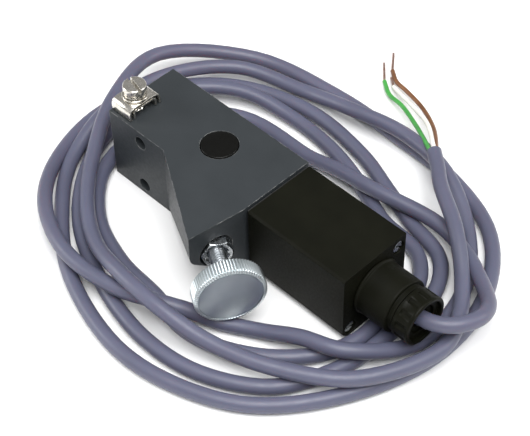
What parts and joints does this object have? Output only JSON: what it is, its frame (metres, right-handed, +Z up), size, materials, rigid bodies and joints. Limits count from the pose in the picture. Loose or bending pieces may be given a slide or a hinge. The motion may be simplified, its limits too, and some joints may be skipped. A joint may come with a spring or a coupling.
{
  "type": "pressure-operated limit switch",
  "caption": "Pressure-operated limit switch: square valve block with an angled thumb screw, black switch housing, earth terminal, cable gland and a coiled cable.",
  "frame": {"origin": "middle of the body's underside, on the block's flat lower face", "axes": "+X towards the cable gland, +Z up through the port, -Y towards the adjusting screw's side"},
  "size_m": [0.1734, 0.1712, 0.0403],
  "materials": {
    "block_paint": "satin blue-grey coating",
    "housing_plastic": "matt moulded black",
    "plug_plastic": "satin black",
    "switch_plastic": "moulded black",
    "zinc": "bright zinc plating",
    "nickel": "warm nickel plating",
    "steel": "bare spring steel",
    "seal_rubber": "matt black",
    "cable_sheath": "satin grey-violet sheath",
    "brown_insulation": "satin",
    "white_insulation": "satin",
    "green_insulation": "satin",
    "copper": "tinned copper strand"
  },
  "bodies": {
    "body": {"valve_block": "block_paint", "bottom_cover": "block_paint", "switch_housing": "housing_plastic", "gland_body": "housing_plastic", "switch_case": "switch_plastic", "end_plug": "zinc", "cover_screw_1": "zinc", "cover_screw_2": "zinc", "housing_screw_1": "zinc", "housing_screw_2": "zinc", "switch_bracket": "zinc", "earth_base": "nickel", "earth_saddle": "nickel", "gland_locknut": "nickel", "terminal_common": "nickel", "terminal_closed": "nickel", "terminal_open": "nickel", "range_spring": "steel", "pivot_pin": "steel", "housing_gasket": "seal_rubber", "gland_seal": "seal_rubber", "cord": "cable_sheath", "core_brown": "brown_insulation", "inner_core_brown": "brown_insulation", "core_white": "white_insulation", "inner_core_white": "white_insulation", "core_green": "green_insulation", "inner_core_green": "green_insulation", "conductor_brown": "copper", "conductor_white": "copper", "conductor_green": "copper"},
    "adjuster": {"spring_plate": "zinc"},
    "adjusting_screw": {"thumb_screw": "zinc"},
    "lock_nut": {"lock_nut": "zinc"},
    "port_plug": {"port_plug": "plug_plastic"},
    "piston": {"piston": "zinc", "piston_seal": "seal_rubber"},
    "rocker": {"rocker": "zinc", "spring_seat": "zinc"},
    "push_rod": {"push_rod": "steel"},
    "switch_blade": {"switch_blade": "steel"},
    "switch_button": {"switch_button": "switch_plastic"},
    "earth_washer": {"earth_plain_washer": "nickel", "earth_spring_washer": "nickel"},
    "earth_screw": {"earth_screw": "nickel"},
    "gland_ring": {"gland_ring": "housing_plastic"},
    "gland_nut": {"gland_nut": "housing_plastic"}
  },
  "joints": [
    {"name": "adjust_travel", "type": "slide", "parent": "body", "child": "adjuster", "axis": [0.866, -0.5, 0], "range_m": [-0.006, 0.003], "deforming": ["range_spring"]},
    {"name": "adjust_turn", "type": "hinge", "parent": "adjuster", "child": "adjusting_screw", "pos_m": [0.0098, -0.02655, 0.018], "axis": [0.866, -0.5, 0], "range_deg": [-2161, 1081]},
    {"name": "lock_nut_turn", "type": "hinge", "parent": "body", "child": "lock_nut", "pos_m": [0.0098, -0.02655, 0.018], "axis": [0.866, -0.5, 0], "range_deg": [0, 60]},
    {"name": "port_plug_pull", "type": "slide", "parent": "body", "child": "port_plug", "axis": [0, 0, 1], "range_m": [0, 0.012]},
    {"name": "pressure_stroke", "type": "slide", "parent": "body", "child": "piston", "axis": [1, 0, 0], "range_m": [0, 0.00049], "stiffness_N_per_m": 1500, "deforming": ["range_spring"]},
    {"name": "rocker_swing", "type": "hinge", "parent": "body", "child": "rocker", "pos_m": [-0.0223, 0.0093, 0.015], "axis": [0, 0, 1], "range_deg": [0, 3.1], "deforming": ["range_spring"]},
    {"name": "push_rod_travel", "type": "slide", "parent": "body", "child": "push_rod", "axis": [1, 0, 0], "range_m": [0, 0.0007]},
    {"name": "blade_swing", "type": "hinge", "parent": "body", "child": "switch_blade", "pos_m": [0.0188, 0.0084, 0.015], "axis": [0, 0, 1], "range_deg": [0, 3.4]},
    {"name": "button_travel", "type": "slide", "parent": "body", "child": "switch_button", "axis": [1, 0, 0], "range_m": [0, 0.0004]},
    {"name": "earth_travel", "type": "slide", "parent": "body", "child": "earth_washer", "axis": [0, 0, 1], "range_m": [0, 0.0015]},
    {"name": "earth_turn", "type": "hinge", "parent": "earth_washer", "child": "earth_screw", "pos_m": [-0.0503, -0.0068, 0.03], "axis": [0, 0, 1], "range_deg": [0, 676]},
    {"name": "gland_travel", "type": "slide", "parent": "body", "child": "gland_ring", "axis": [1, 0, 0], "range_m": [0, 0.001]},
    {"name": "gland_turn", "type": "hinge", "parent": "gland_ring", "child": "gland_nut", "pos_m": [0.0555, 0, 0.016], "axis": [1, 0, 0], "range_deg": [0, 241]}
  ],
  "couplings": [
    {"joint": "adjust_turn", "follows": "adjust_travel", "rad_per_m": 6283.2},
    {"joint": "earth_turn", "follows": "earth_travel", "rad_per_m": 7854},
    {"joint": "gland_turn", "follows": "gland_travel", "rad_per_m": 4188.8},
    {"joint": "rocker_swing", "follows": "pressure_stroke", "rad_per_m": 107.53},
    {"joint": "push_rod_travel", "follows": "pressure_stroke", "ratio": 1.3763},
    {"joint": "blade_swing", "follows": "pressure_stroke", "rad_per_m": 115.65},
    {"joint": "button_travel", "follows": "pressure_stroke", "ratio": 0.682}
  ]
}
